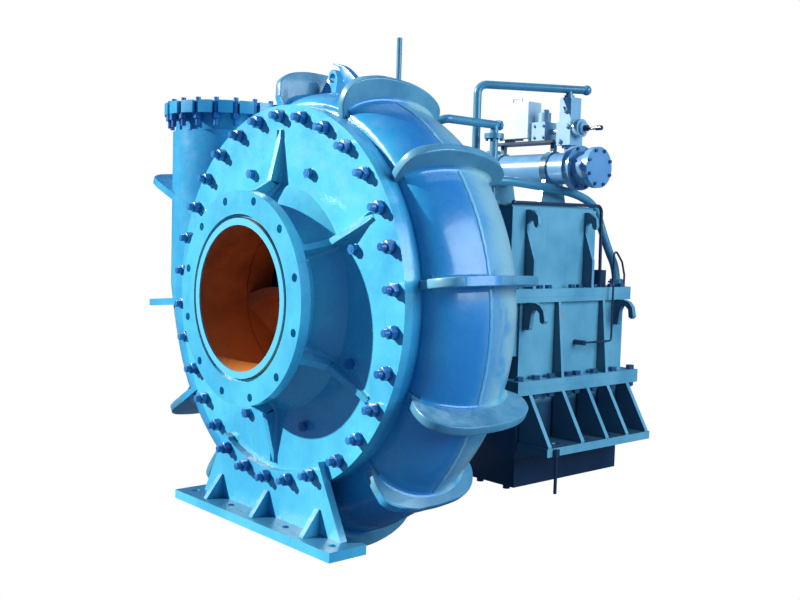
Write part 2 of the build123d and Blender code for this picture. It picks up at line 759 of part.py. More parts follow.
def cooler_shell():
    y = cooler_y
    z = cooler_z
    body = rod_x(cooler_r, -195, 232, y, z) + rod_x(84, 220, 237, y, z) + rod_x(84, -205, -190, y, z)
    body += rod_z(17, z + 40, 567.7, 184, y)
    body += rod_z(26, 559, 567.7, 184, y)
    body -= rod_x(cooler_r - 8, -210, 240, y, z)
    return body


def cooler_tubes():
    out = []
    spots = [(0, 0)] + [(27 * cos(radians(60 * k)), 27 * sin(radians(60 * k))) for k in range(6)]
    sheets = [rod_x(51.5, -204.7, -192, cooler_y, cooler_z), rod_x(51.5, 224, 236.7, cooler_y, cooler_z)]
    nest = sheets[0] + sheets[1] + [rod_x(6, -204.7, 236.7, cooler_y + dy, cooler_z + dz) for dy, dz in spots]
    return nest


def cooler_heads():
    near = turned_x([(237.3, 84), (250, 84), (250, 64), (296, 58), (306, 56), (306, 76), (332, 76), (332, 0), (237.3, 0)])
    near -= rod_x(46, 230, 296, cooler_y, cooler_z)
    far = turned_x([(-205.3, 84), (-218, 84), (-218, 62), (-246, 50), (-258, 30), (-258, 0), (-205.3, 0)])
    far -= rod_x(46, -236, -200, cooler_y, cooler_z)
    return [near, far]


def cooler_bolts():
    out = []
    for k in range(8):
        a = radians(45 * k + 22.5)
        c = cos(a)
        d = sin(a)
        out.append(hex_x(12, 332, 339, cooler_y + 66 * c, cooler_z + 66 * d))
        out.append(hex_x(11, 250, 257, cooler_y + 76 * c, cooler_z + 76 * d))
        out.append(hex_x(11, -225, -218, cooler_y + 76 * c, cooler_z + 76 * d))
    return out


def cooler_brackets():
    out = []
    for x in (-150, 110):
        pts = [(cooler_y - 74, lid_z), (cooler_y + 74, lid_z), (cooler_y + 74, lid_z + 12),
               (cooler_y + 48, cooler_z - 30), (cooler_y - 48, cooler_z - 30), (cooler_y - 74, lid_z + 12)]
        leg = plate_x(pts, x - 8, x + 8) + rod_x(cooler_r + 7, x - 14, x + 14, cooler_y, cooler_z)
        leg += block(x - 26, x + 26, cooler_y - 74, cooler_y + 74, lid_z, lid_z + 12)
        leg += block(x - 9, x + 9, cooler_y - 9, cooler_y + 9, cooler_z + 50, 579.7)
        out.append(leg - rod_x(cooler_r + 0.2, x - 30, x + 30, cooler_y, cooler_z))
    return out


def gear_rail():
    return block(-172, 138, cooler_y - 42, cooler_y + 38, 580, 590)


def oil_box():
    body = block(-143, 11, cooler_y - 40, cooler_y + 36, 602, 746)
    body = fillet(body.edges(), 4)
    for x in (-128, -4):
        body += block(x - 12, x + 12, cooler_y - 34, cooler_y + 30, 590.3, 604)
    handle = pipe_run([(-100, cooler_y - 10, 742), (-100, cooler_y - 10, 766), (-52, cooler_y - 10, 766),
                       (-52, cooler_y - 10, 742)], 4, 6)
    return body + handle


def filter_block():
    body = block(26, 92, cooler_y - 36, cooler_y + 34, 590.3, 662)
    body += rod_z(24, 660, 700, 60, cooler_y)
    body += hex_z(30, 700, 712, 60, cooler_y)
    body += rod_x(11, 90, 152.7, cooler_y, 626)
    for dx in (-22, 22):
        for z in (604, 648):
            body += disc(5, cooler_y - 43, cooler_y - 35, 60 + dx, z)
    return body


def valve_block():
    body = block(153, 218, cooler_y - 38, cooler_y + 38, 568, 656)
    body += block(158, 212, cooler_y - 30, cooler_y + 30, 655, 748)
    body += rod_x(34, 217, 246, cooler_y, 632) + rod_x(24, 246, 256, cooler_y, 632)
    body -= rod_x(10.5, 228, 300, cooler_y, 632)
    body += disc(9, cooler_y - 48, cooler_y - 37, 168, 584) + disc(9, cooler_y - 48, cooler_y - 37, 203, 640)
    body += disc(11, cooler_y - 42, cooler_y - 29, 185, 702)
    return body


def valve_lever():
    hub = rod_x(10, 229, 272, cooler_y, 632)
    bar = block(262, 272, cooler_y - 9, cooler_y + 9, 620, 640)
    arm = rod_x(5.5, 266, 336, cooler_y, 628) + rod_x(9, 312, 336, cooler_y, 628)
    return hub + bar + arm


def supply_pipe():
    y = F + 883
    body = pipe_run([(0, y, lid_z), (0, y, 780), (219, F + 1250, 780)], 15, 34)
    body += rod_z(28, lid_z, lid_z + 12, 0, y) + Pos(219, F + 1250, 780) * Sphere(19)
    body += rod_z(13, 748.3, 772, 184, cooler_y - 8) + rod_z(19, 748.3, 757, 184, cooler_y - 8)
    return body


def gland_water_pipe():
    body = pipe_run([(0, F + 570, 140.3), (0, F + 570, 590), (90, F + 640, 624), (90, F + 912, 624)], 15, 26)
    body += rod_z(15, 592, 624, 90, F + 885) + rod_z(36, 583, 592, 90, F + 885)
    body += disc(19, F + 900, F + 914, 90, 624)
    return body


def pipe_stand():
    body = rod_z(15, lid_z, 576, 90, F + 885) + rod_z(36, 573.7, 582.7, 90, F + 885) + rod_z(30, lid_z, lid_z + 10, 90, F + 885)
    for a in (45, 135, 225, 315):
        x = 90 + 27 * cos(radians(a))
        y = F + 885 + 27 * sin(radians(a))
        body += hex_z(10, 565, 574, x, y)
    return body


def cooler_pipe():
    # from the far head of the cooler forward and down to the gearbox lid
    body = pipe_run([(-258.3, cooler_y, cooler_z), (-310, cooler_y, cooler_z), (-310, F + 1010, 462),
                     (-120, F + 1010, 462), (-120, F + 1010, lid_z)], 17, 36)
    body += rod_z(28, lid_z, lid_z + 10, -120, F + 1010) + rod_x(24, -270, -258.3, cooler_y, cooler_z)
    return body


def return_pipe():
    path = Spline((120, F + 700, 208.3), (122, F + 712, 330), (150, F + 790, 412), (170, F + 900, 414),
                  (170, F + 1070, 405), (170, F + 1305, 381), (178, F + 1372, 340), (188, F + 1403, 270),
                  (204, F + 1436, 195), (214, F + 1468, 128), (218, F + 1487, 60), (218, F + 1490, 30.3),
                  tangents=[(0, 0, 1), (0, 0, -1)])
    body = sweep(Plane(origin=path @ 0, z_dir=(0, 0, 1)) * Circle(15), path=path)
    return body + rod_z(19, 30.3, 48, 218, F + 1490) + rod_z(20, 208.3, 224, 120, F + 700)


def bleed_tube():
    x = 226
    body = pipe_run([(x, F + 855, 339), (x, F + 1364, 345), (x, F + 1370, 80)], 6.5, 26)
    body += block(214, 246, F + 1350, F + 1384, 30.3, 96)
    body += Pos(x, F + 855, 339) * Sphere(9)
    for y in (900, 1180):
        body += block(196, 229, F + y - 6, F + y + 6, lid_z, lid_z + 4)
    return body


def spill_tube():
    return pipe_run([(250, F + 1426, 30.3), (250, F + 1426, 184), (250, F + 1480, 128), (250, F + 1498, 76),
                     (250, F + 1498, 30.3)], 4, 12)


def probe_tube():
    body = pipe_run([(268, F + 1372, 52), (292, F + 1372, 52), (292, F + 1372, -177), (292, F + 1199, -177)], 4, 12)
    body += rod_x(10, mid_half + 0.3, 300, F + 1199, -177) + rod_x(7.6, mid_half - 25, mid_half + 1, F + 1199, -177)
    return body


def wall_plugs():
    out = []
    for y in (1111, 1375):
        head = hex_x(20, mid_half, mid_half + 12, F + y, -75)
        out.append(head + rod_x(8.6, mid_half - 20, mid_half + 1, F + y, -75))
    return out


def drain_rod():
    # hangs from a clip on the outer edge of the right foot, so the foot's underside stays flat
    clip = block(foot_x + 0.3, foot_x + 15, F + 912, F + 932, foot_low + 2, foot_top - 3)
    return rod_z(6, -690, foot_top - 8, foot_x + 8, F + 922) + clip


save("volute_casing", volute_casing())
save("front_cover", front_cover())
save("cover_studs", *cover_studs())
save("cover_nuts", *cover_nuts())
save("cover_jack_screws", *cover_jack_screws())
save("suction_liner", suction_liner())
save("front_foot", front_foot())
save("front_wear_plate", front_wear_plate())
save("back_wear_plate", back_wear_plate())
save("wear_plate_bolts", *wear_plate_bolts())
save("impeller", impeller())
save("pump_shaft", pump_shaft())
save("shaft_sleeve", shaft_sleeve())
save("back_cover", back_cover())
save("back_studs", *back_studs())
save("stuffing_box", stuffing_box())
save("packing_rings", *packing_rings())
save("lantern_ring", lantern_ring())
save("packing_gland", packing_gland())
save("gland_bolts", *gland_bolts())
save("bearing_bracket", bearing_bracket())
save("bracket_bolts", *bracket_bolts())
save("gearbox_bracket_bolts", *gearbox_bracket_bolts())
save("gearbox_upper", gearbox_upper())
save("gearbox_middle", gearbox_middle())
save("gearbox_lower", gearbox_lower())
save("oil_sump", oil_sump())
save("sump_bolts", *sump_bolts())
save("split_bolts", *split_bolts())
save("low_flange_bolts", *low_bolts())
save("front_bearing", *front_bearing())
save("rear_bearing", *rear_bearing())
save("front_bearing_cap", front_bearing_cap())
save("drive_gear", drive_gear())
save("pinion_shaft", pinion_shaft())
save("pinion_bearings", *pinion_bearings())
save("input_seal_cap", input_seal_cap())
save("input_coupling", input_coupling())
save("discharge_bolts", *discharge_bolts())
save("vent_pipe", vent_pipe())
save("cooler_shell", cooler_shell())
save("cooler_tubes", cooler_tubes())
save("cooler_heads", *cooler_heads())
save("cooler_bolts", *cooler_bolts())
save("cooler_brackets", *cooler_brackets())
save("gear_rail", gear_rail())
save("oil_box", oil_box())
save("filter_block", filter_block())
save("valve_block", valve_block())
save("valve_lever", valve_lever())
save("supply_pipe", supply_pipe())
save("gland_water_pipe", gland_water_pipe())
save("pipe_stand", pipe_stand())
save("cooler_pipe", cooler_pipe())
save("return_pipe", return_pipe())
save("bleed_tube", bleed_tube())
save("spill_tube", spill_tube())
save("probe_tube", probe_tube())
save("wall_plugs", *wall_plugs())
save("drain_rod", drain_rod())
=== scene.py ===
import bpy
import bmesh
from math import atan2, cos, degrees, pi, radians, sin, sqrt
from mathutils import Matrix, Vector
from mathutils.bvhtree import BVHTree


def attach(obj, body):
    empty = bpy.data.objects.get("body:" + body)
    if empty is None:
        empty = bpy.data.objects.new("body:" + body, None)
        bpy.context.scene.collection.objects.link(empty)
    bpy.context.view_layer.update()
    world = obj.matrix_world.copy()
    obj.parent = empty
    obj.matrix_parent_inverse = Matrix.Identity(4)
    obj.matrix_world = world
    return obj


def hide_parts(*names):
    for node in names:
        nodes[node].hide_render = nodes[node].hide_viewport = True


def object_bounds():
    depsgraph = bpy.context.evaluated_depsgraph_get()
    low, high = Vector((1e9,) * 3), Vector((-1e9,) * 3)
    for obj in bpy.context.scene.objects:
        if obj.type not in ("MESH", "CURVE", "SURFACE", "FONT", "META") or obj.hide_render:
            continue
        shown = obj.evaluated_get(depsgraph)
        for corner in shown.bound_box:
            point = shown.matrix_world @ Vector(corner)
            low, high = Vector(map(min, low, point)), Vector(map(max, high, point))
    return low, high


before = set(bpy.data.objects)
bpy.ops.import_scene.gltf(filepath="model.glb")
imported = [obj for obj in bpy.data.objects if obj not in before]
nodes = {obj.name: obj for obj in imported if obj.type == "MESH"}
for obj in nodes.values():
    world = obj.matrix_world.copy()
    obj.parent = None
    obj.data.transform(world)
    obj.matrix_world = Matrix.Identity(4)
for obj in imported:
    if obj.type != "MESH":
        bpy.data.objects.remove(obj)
cad_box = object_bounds()

F = 0.152          # front face of the suction cover, metres behind the suction flange


# Shader expressions
def plug(tree, socket, value):
    """Leads a wire to a socket, or sets the socket to a number or a colour."""
    if isinstance(value, Wire):
        tree.links.new(value.out, socket)
    elif isinstance(value, (tuple, list)) and len(value) == 3 and socket.type == "RGBA":
        socket.default_value = (*value, 1.0)
    else:
        socket.default_value = value


class Wire:
    """What comes out of one node of a shader, with arithmetic."""

    def __init__(self, tree, out):
        self.tree = tree
        self.out = out

    def math(self, operation, a, b, clamp=False):
        node = self.tree.nodes.new("ShaderNodeMath")
        node.operation = operation
        node.use_clamp = clamp
        plug(self.tree, node.inputs[0], a)
        plug(self.tree, node.inputs[1], b)
        return Wire(self.tree, node.outputs[0])

    def __add__(self, other):
        return self.math("ADD", self, other)

    def __radd__(self, other):
        return self.math("ADD", other, self)

    def __rsub__(self, other):
        return self.math("SUBTRACT", other, self)

    def __mul__(self, other):
        return self.math("MULTIPLY", self, other)

    def __rmul__(self, other):
        return self.math("MULTIPLY", other, self)

    def clipped(self):
        return self.math("ADD", self, 0.0, clamp=True)


class Paint:
    """A material being mixed."""

    def __init__(self, name):
        self.mat = bpy.data.materials.new(name)
        self.mat.use_nodes = True
        self.tree = self.mat.node_tree
        self.tree.nodes.clear()
        end = self.tree.nodes.new("ShaderNodeOutputMaterial")
        self.shader = self.tree.nodes.new("ShaderNodeBsdfPrincipled")
        self.tree.links.new(self.shader.outputs[0], end.inputs[0])
        place = self.tree.nodes.new("ShaderNodeTexCoord")
        self.place = Wire(self.tree, place.outputs["Object"])

    def node(self, kind, settings=None, out=0, **sockets):
        made = self.tree.nodes.new(kind)
        for key, value in (settings or {}).items():
            setattr(made, key, value)
        for key, value in sockets.items():
            plug(self.tree, made.inputs[key.replace("_", " ")], value)
        return Wire(self.tree, made.outputs[out])

    def noise(self, scale, detail=4.0, rough=0.55, stretch=(1, 1, 1), warp=0.0):
        at = self.node("ShaderNodeMapping", Vector=self.place, Scale=stretch)
        return self.node("ShaderNodeTexNoise", Vector=at, Scale=scale, Detail=detail, Roughness=rough,
                         Distortion=warp)

    def band(self, value, low, high):
        """0 below low, 1 above high, with a soft step between them."""
        return self.node("ShaderNodeMapRange", {"interpolation_type": "SMOOTHSTEP"}, Value=value,
                         From_Min=low, From_Max=high)

    def blend(self, mask, a, b):
        """Colour a where the mask is 0 and b where it is 1."""
        node = self.tree.nodes.new("ShaderNodeMix")
        node.data_type = "RGBA"
        plug(self.tree, node.inputs["Factor"], mask)
        plug(self.tree, node.inputs[6], a)
        plug(self.tree, node.inputs[7], b)
        return Wire(self.tree, node.outputs[2])

    def axis(self, k):
        """The place along x, y or z."""
        return self.node("ShaderNodeSeparateXYZ", out=k, Vector=self.place)

    def facing(self, k):
        """How far the surface faces along x, y or z."""
        geo = self.tree.nodes.new("ShaderNodeNewGeometry")
        return self.node("ShaderNodeSeparateXYZ", out=k, Vector=Wire(self.tree, geo.outputs["Normal"]))

    def bump(self, height, strength, distance):
        return self.node("ShaderNodeBump", Height=height, Strength=strength, Distance=distance)

    def finish(self, **sockets):
        for key, value in sockets.items():
            plug(self.tree, self.shader.inputs[key.replace("_", " ")], value)
        return self.mat


def darker(colour, share):
    return tuple(c * share for c in colour)


# the deepest blue is painted shade on the shell near the cover
shade_blue_near_cover = (0.006, 0.17, 0.46)
scuffed_brown = (0.10, 0.075, 0.06)


def gloss_paint(name, light, deep, dust, rough=0.24, coat=0.5, cast=0.6, dirt=1.0, back=None, top=None,
                painted_shade=None):
    """Thick enamel on rough castings: uneven film, runs, dust on top, scuffs in patches; with optional
    painted light: painted shade near the cover and a pale painted sky reflection towards the drive side,
    painted shade on upward faces, and painted shade towards the pump and low in the bays.
    """
    p = Paint(name)
    clouds = p.noise(3.2, 5, 0.6)
    film = p.noise(14, 4, 0.6, warp=0.4)
    runs = p.noise(9, 3, 0.5, (6, 6, 0.7))
    pores = p.noise(210, 3, 0.6)
    lumps = p.noise(38, 3, 0.55)
    tone = p.blend(p.band(clouds, 0.32, 0.70), light, deep)
    tone = p.blend(p.band(film, 0.50, 0.78) * 0.30, tone, deep)
    tone = p.blend(p.band(runs, 0.60, 0.80) * 0.22 * dirt, tone, darker(deep, 0.45))
    up = p.band(p.facing(2), 0.35, 0.95)
    settled = up * p.band(p.noise(22, 5, 0.65), 0.38, 0.72) * 0.40 * dirt
    tone = p.blend(settled, tone, dust)
    if back:
        # painted light on the shell: painted shade in the deepest blue near the cover, and a pale painted
        # reflection of the sky towards the drive side
        front = p.band(p.axis(1), F + 0.02, F + 0.16) * (1.0 - p.band(p.axis(1), F + 0.20, F + 0.34))
        front = front * p.band(p.axis(0), -0.10, 0.15)
        tone = p.blend(front * 0.70, tone, shade_blue_near_cover)
        behind = p.band(p.axis(1), F + 0.19, F + 0.35) * p.band(p.axis(0), 0.05, 0.30)
        painted_reflection = behind * p.band(p.noise(7, 4, 0.6, warp=0.6), 0.22, 0.55)
        tone = p.blend(painted_reflection * 0.80, tone, back)
    if top:
        # painted shade: faces turned upwards take the darker top colour
        tone = p.blend(up * 0.85, tone, top)
    if painted_shade:
        # painted shade: dark navy on the faces towards the pump, where the casing shades them, and low down
        # in the bays over the feet
        ahead = 1.0 - p.band(p.facing(1), -0.85, -0.45)
        low = 1.0 - p.band(p.axis(2), -0.40, -0.37)
        inner = 1.0 - p.band(p.axis(0), 0.255, 0.262)
        floor_of_bay = low * p.band(p.facing(2), 0.8, 0.95)
        shaded_mask = (ahead * 0.82 + low * inner * 0.90 + floor_of_bay * 0.75).clipped()
        tone = p.blend(shaded_mask, tone, painted_shade)
    scuff = p.band(p.noise(55, 6, 0.7), 0.695, 0.73) * p.band(p.noise(4.5, 3, 0.5), 0.52, 0.66)
    tone = p.blend(scuff * 0.7 * dirt, tone, scuffed_brown)
    gloss = rough + 0.16 * p.band(film, 0.35, 0.75) + 0.25 * settled
    skin = p.bump(pores * 0.35 + lumps * 0.65, 0.30 * cast, 0.0035)
    skin = p.node("ShaderNodeBump", Height=p.noise(7.5, 3, 0.5), Strength=0.35 * cast, Distance=0.012,
                  Normal=skin)
    return p.finish(Base_Color=tone, Roughness=gloss, Normal=skin, Coat_Weight=coat, Coat_Roughness=0.12)


def bare_steel(name, colour, rough=0.32, stretch=(1, 1, 1), scale=160):
    """Turned metal with fine lines and a faint stain."""
    p = Paint(name)
    lines = p.noise(scale, 3, 0.5, stretch)
    stain = p.noise(11, 5, 0.6)
    tone = p.blend(p.band(stain, 0.42, 0.75) * 0.35, colour, darker(colour, 0.55))
    return p.finish(Base_Color=tone, Metallic=1.0, Roughness=rough + 0.18 * lines,
                    Normal=p.bump(lines, 0.15, 0.0006))


def iron(name, colour, rust, share=0.5):
    """Cast iron with patches of rust."""
    p = Paint(name)
    grain = p.noise(120, 4, 0.7)
    patches = p.noise(9, 5, 0.65, warp=0.5)
    tone = p.blend(p.band(patches, 0.40, 0.66) * share, colour, rust)
    tone = p.blend(p.band(grain, 0.5, 0.8) * 0.4, tone, darker(rust, 0.6))
    skin = p.bump(grain * 0.6 + p.noise(30, 4, 0.6) * 0.4, 0.5, 0.003)
    return p.finish(Base_Color=tone, Roughness=0.62 + 0.2 * grain, Metallic=0.25, Normal=skin)


def primed_bore(name):
    """Brown primer in the suction bore, orange where the light reaches the bottom."""
    p = Paint(name)
    low = 1.0 - p.band(p.axis(2), -0.235, 0.02)
    patches = p.noise(8, 5, 0.65, warp=0.3)
    tone = p.blend(p.band(patches, 0.3, 0.7), (0.24, 0.062, 0.012), (0.42, 0.125, 0.022))
    tone = p.blend(low * 0.75, tone, (0.80, 0.27, 0.035))
    lip = 1.0 - p.band(p.axis(1), 0.0045, 0.0055)
    tone = p.blend(lip, tone, (0.06, 0.43, 0.66))
    tone = p.blend(p.band(p.noise(60, 5, 0.7), 0.60, 0.72) * 0.5, tone, (0.12, 0.045, 0.02))
    return p.finish(Base_Color=tone, Roughness=0.55 + 0.2 * patches,
                    Normal=p.bump(p.noise(90, 4, 0.6), 0.35, 0.002))


def packing_rope(name):
    """Plaited packing."""
    p = Paint(name)
    weave = p.node("ShaderNodeTexChecker", Vector=p.place, Scale=220.0, Color1=(0.34, 0.31, 0.26),
                   Color2=(0.22, 0.20, 0.17))
    return p.finish(Base_Color=weave, Roughness=0.85, Normal=p.bump(p.noise(260, 2, 0.5), 0.6, 0.001))


# Paints: the light tone, the deep tone and the dust
# the sea blue's last colour is a pale painted reflection of the sky towards the drive side
blue = gloss_paint("sea_blue_enamel", (0.055, 0.42, 0.62), (0.022, 0.27, 0.52), (0.36, 0.56, 0.62),
                   back=(0.42, 0.58, 0.52))
# a paler copy of the blue for the parting seam's bead: painted highlight
blue_seam_highlight = gloss_paint("sea_blue_enamel_seam_highlight", (0.30, 0.58, 0.66), (0.08, 0.38, 0.58), (0.40, 0.56, 0.60),
                        rough=0.34, coat=0.3, cast=0.4)
# a darker, greener copy of the blue for the casing's ribs: painted shade
blue_ribs_shaded = gloss_paint("sea_blue_enamel_ribs_shaded", (0.13, 0.36, 0.46), (0.05, 0.20, 0.31), (0.38, 0.54, 0.58),
                        rough=0.30, coat=0.4)
# lighter, more cyan copies of the blue for the cover and the foot, which face the sun: painted light; the
# foot's top colour is painted shade on its upward faces
blue_cover_lit = gloss_paint("sea_blue_enamel_cover_lit", (0.085, 0.51, 0.64), (0.045, 0.36, 0.58),
                         (0.36, 0.56, 0.60), cast=0.8)
blue_foot_lit = gloss_paint("sea_blue_enamel_foot_lit", (0.095, 0.50, 0.64), (0.045, 0.36, 0.58), (0.30, 0.48, 0.54),
                        cast=0.5, top=(0.030, 0.14, 0.24))
# a darker copy of the blue for the cover's nuts, studs and screws and the discharge bolts: painted shade
blue_nuts_shaded = gloss_paint("sea_blue_enamel_nuts_shaded", (0.020, 0.20, 0.48), (0.010, 0.10, 0.32), (0.20, 0.38, 0.50),
                        rough=0.28, coat=0.4, cast=0.3)
# the gearbox enamel's last colour is painted shade, on its faces towards the pump and low in the bays over
# the feet
teal = gloss_paint("gearbox_enamel", (0.18, 0.44, 0.52), (0.085, 0.29, 0.40), (0.30, 0.44, 0.50),
                   rough=0.30, coat=0.3, cast=0.25, painted_shade=(0.006, 0.030, 0.075))
cooler_paint = gloss_paint("cooler_enamel", (0.16, 0.34, 0.52), (0.09, 0.24, 0.44), (0.30, 0.44, 0.50),
                           rough=0.26, coat=0.5, cast=0.12)
navy = gloss_paint("dark_enamel", (0.010, 0.035, 0.075), (0.006, 0.02, 0.05), (0.10, 0.13, 0.17),
                   rough=0.30, coat=0.3, cast=0.3)
fastener = gloss_paint("painted_fasteners", (0.012, 0.085, 0.20), (0.008, 0.05, 0.13), (0.12, 0.20, 0.28),
                       rough=0.30, coat=0.35, cast=0.2)
pale = gloss_paint("pale_enamel", (0.62, 0.72, 0.76), (0.50, 0.62, 0.68), (0.55, 0.58, 0.58),
                   rough=0.32, coat=0.3, cast=0.15, dirt=0.6)
valve_paint = gloss_paint("valve_enamel", (0.36, 0.54, 0.62), (0.22, 0.40, 0.52), (0.40, 0.52, 0.56),
                          rough=0.30, coat=0.4, cast=0.12)
pipe_paint = gloss_paint("pipe_enamel", (0.07, 0.28, 0.40), (0.04, 0.19, 0.29), (0.22, 0.33, 0.38),
                         rough=0.28, coat=0.4, cast=0.12)
bore = primed_bore("brown_primer")
steel = bare_steel("turned_steel", (0.60, 0.61, 0.62), 0.28, (1, 12, 1))
zinc = bare_steel("zinc_plate", (0.55, 0.58, 0.60), 0.36)
brass = bare_steel("brass", (0.72, 0.53, 0.24), 0.30)
wear = iron("wear_iron", (0.16, 0.13, 0.115), (0.24, 0.11, 0.055))
rope = packing_rope("packing_rope")

finish_of = {
    "volute_casing": blue, "front_cover": blue_cover_lit, "front_foot": blue_foot_lit, "back_cover": blue,
    "bearing_bracket": blue, "cover_nuts": blue_nuts_shaded, "cover_studs": blue_nuts_shaded,
    "cover_jack_screws": blue_nuts_shaded, "suction_liner": bore, "impeller": bore,
    "front_wear_plate": wear, "back_wear_plate": wear,
    "wear_plate_bolts": fastener, "pump_shaft": steel, "shaft_sleeve": steel, "back_studs": fastener,
    "stuffing_box": blue, "packing_rings": rope, "lantern_ring": brass, "packing_gland": blue,
    "gland_bolts": zinc, "bracket_bolts": fastener, "gearbox_bracket_bolts": fastener,
    "gearbox_upper": teal, "gearbox_middle": teal, "gearbox_lower": teal, "oil_sump": navy,
    "sump_bolts": navy, "split_bolts": fastener, "low_flange_bolts": fastener, "front_bearing": steel,
    "rear_bearing": steel, "front_bearing_cap": teal, "drive_gear": steel, "pinion_shaft": steel,
    "pinion_bearings": steel, "input_seal_cap": teal, "input_coupling": teal, "discharge_bolts": blue_nuts_shaded,
    "vent_pipe": pipe_paint, "cooler_shell": cooler_paint, "cooler_tubes": brass,
    "cooler_heads": cooler_paint, "cooler_bolts": fastener, "cooler_brackets": teal, "gear_rail": navy,
    "oil_box": pale,
    "filter_block": valve_paint, "valve_block": valve_paint, "valve_lever": navy, "supply_pipe": pipe_paint,
    "gland_water_pipe": pipe_paint, "pipe_stand": pipe_paint, "cooler_pipe": pipe_paint,
    "return_pipe": pipe_paint, "bleed_tube": navy, "spill_tube": navy, "probe_tube": navy,
    "wall_plugs": zinc, "drain_rod": navy,
}
for name, node in nodes.items():
    finish = finish_of[name]
    if not node.material_slots:
        node.data.materials.append(finish)
    for slot in node.material_slots:
        slot.material = finish


# Modelling tools
merge_gap = 0.00005          # corners nearer than this are one


def leave_all():
    if bpy.context.object and bpy.context.object.mode != "OBJECT":
        bpy.ops.object.mode_set(mode="OBJECT")
    bpy.ops.object.select_all(action="DESELECT")


def only(obj):
    leave_all()
    obj.select_set(True)
    bpy.context.view_layer.objects.active = obj


def edit_all(obj):
    """Edit mode on one object with everything in it picked."""
    only(obj)
    bpy.ops.object.mode_set(mode="EDIT")
    bpy.ops.mesh.select_all(action="SELECT")


def seat(obj):
    """The place of the piece goes into its mesh."""
    only(obj)
    bpy.ops.object.transform_apply(location=True, rotation=True, scale=True)
    return obj


def join(parts, name):
    leave_all()
    for part in parts:
        part.select_set(True)
    bpy.context.view_layer.objects.active = parts[0]
    if len(parts) > 1:
        bpy.ops.object.join()
    done = seat(bpy.context.object)
    done.name = name
    done.data.name = name
    return done


def copies(model, places, name):
    """One joined piece from a model and the matrices where it stands."""
    made = []
    for place in places:
        twin = model.copy()
        twin.data = model.data.copy()
        bpy.context.collection.objects.link(twin)
        twin.matrix_world = place
        made.append(twin)
    bpy.data.objects.remove(model)
    return join(made, name)


def looking(at, direction, turn=0.0):
    """A place whose +Z points along direction."""
    spin = Vector(direction).to_track_quat("Z", "Y").to_matrix().to_4x4()
    return Matrix.Translation(Vector(at)) @ spin @ Matrix.Rotation(turn, 4, "Z")


def round_shaft(angle):
    """The directions away from the shaft axis and along the turn, at an angle in degrees."""
    t = radians(angle)
    return Vector((cos(t), 0, sin(t))), Vector((-sin(t), 0, cos(t)))


def ring_points(r, count, first):
    """(x, z) points evenly round the shaft axis."""
    turns = [radians(first + 360.0 * k / count) for k in range(count)]
    return [(r * cos(turn), r * sin(turn)) for turn in turns]


def dress(obj, finish, body="frame", stands_for=(), smooth=35):
    if not obj.data.materials:
        obj.data.materials.append(finish)
    only(obj)
    bpy.ops.object.shade_smooth_by_angle(angle=radians(smooth))
    if stands_for:
        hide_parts(*stands_for)
    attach(obj, body)
    return obj


def new_object(mesh, name):
    obj = bpy.data.objects.new(name, mesh)
    bpy.context.collection.objects.link(obj)
    return obj


def closed_line(points, name):
    """A closed line through the points."""
    count = len(points)
    mesh = bpy.data.meshes.new(name)
    mesh.from_pydata(points, [(k, (k + 1) % count) for k in range(count)], [])
    return new_object(mesh, name)


def cut_plate(outline, depth, soft_edge, name):
    """A plate cut to an outline, pulled along the vector depth, with softened edges."""
    plate = closed_line(outline, name)
    edit_all(plate)
    bpy.ops.mesh.edge_face_add()
    bpy.ops.mesh.extrude_region_move(TRANSFORM_OT_translate={"value": depth})
    bpy.ops.mesh.select_all(action="SELECT")
    bpy.ops.mesh.normals_make_consistent(inside=False)
    bpy.ops.object.mode_set(mode="OBJECT")
    soft = plate.modifiers.new("soft", "BEVEL")
    soft.width = soft_edge
    soft.segments = 3
    soft.limit_method = "ANGLE"
    soft.angle_limit = radians(50)
    bpy.ops.object.modifier_apply(modifier=soft.name)
    return plate


def turned_ring(profile, name, count=96):
    """A closed ring round the shaft axis, spun from (y, r) points."""
    ring = closed_line([(r, y, 0) for y, r in profile], name)
    edit_all(ring)
    bpy.ops.mesh.spin(steps=count, angle=2 * pi, center=(0, 0, 0), axis=(0, 1, 0))
    bpy.ops.mesh.select_all(action="SELECT")
    bpy.ops.mesh.remove_doubles(threshold=merge_gap)
    bpy.ops.mesh.normals_make_consistent(inside=False)
    bpy.ops.object.mode_set(mode="OBJECT")
    return ring


def turned_rod(steps, sides=24):
    """A turned bar along Z: steps are (z, radius)."""
    first_z, first_r = steps[0]
    bpy.ops.mesh.primitive_circle_add(vertices=sides, radius=first_r, fill_type="NGON", location=(0, 0, 0))
    rod = bpy.context.object
    edit_all(rod)
    bpy.ops.transform.translate(value=(0, 0, first_z))
    for (z0, r0), (z1, r1) in zip(steps, steps[1:]):
        bpy.ops.mesh.extrude_region_move(TRANSFORM_OT_translate={"value": (0, 0, z1 - z0)})
        if r1 != r0:
            bpy.ops.transform.resize(value=(r1 / r0, r1 / r0, 1), center_override=(0, 0, 0))
    bpy.ops.mesh.select_all(action="SELECT")
    bpy.ops.mesh.normals_make_consistent(inside=False)
    bpy.ops.object.mode_set(mode="OBJECT")
    return rod


def threaded(length, r, pitch=0.003, nose=0.0015, sides=14):
    """A threaded end along Z from 0 to length."""
    root = r * 0.9
    steps = [(0.0, root)]
    z = 0.0
    while z + pitch < length - nose:
        steps.append((z + pitch * 0.35, r))
        steps.append((z + pitch * 0.55, r))
        steps.append((z + pitch, root))
        z += pitch
    steps.append((length - nose, root))
    steps.append((length, r * 0.74))
    return turned_rod(steps, sides)


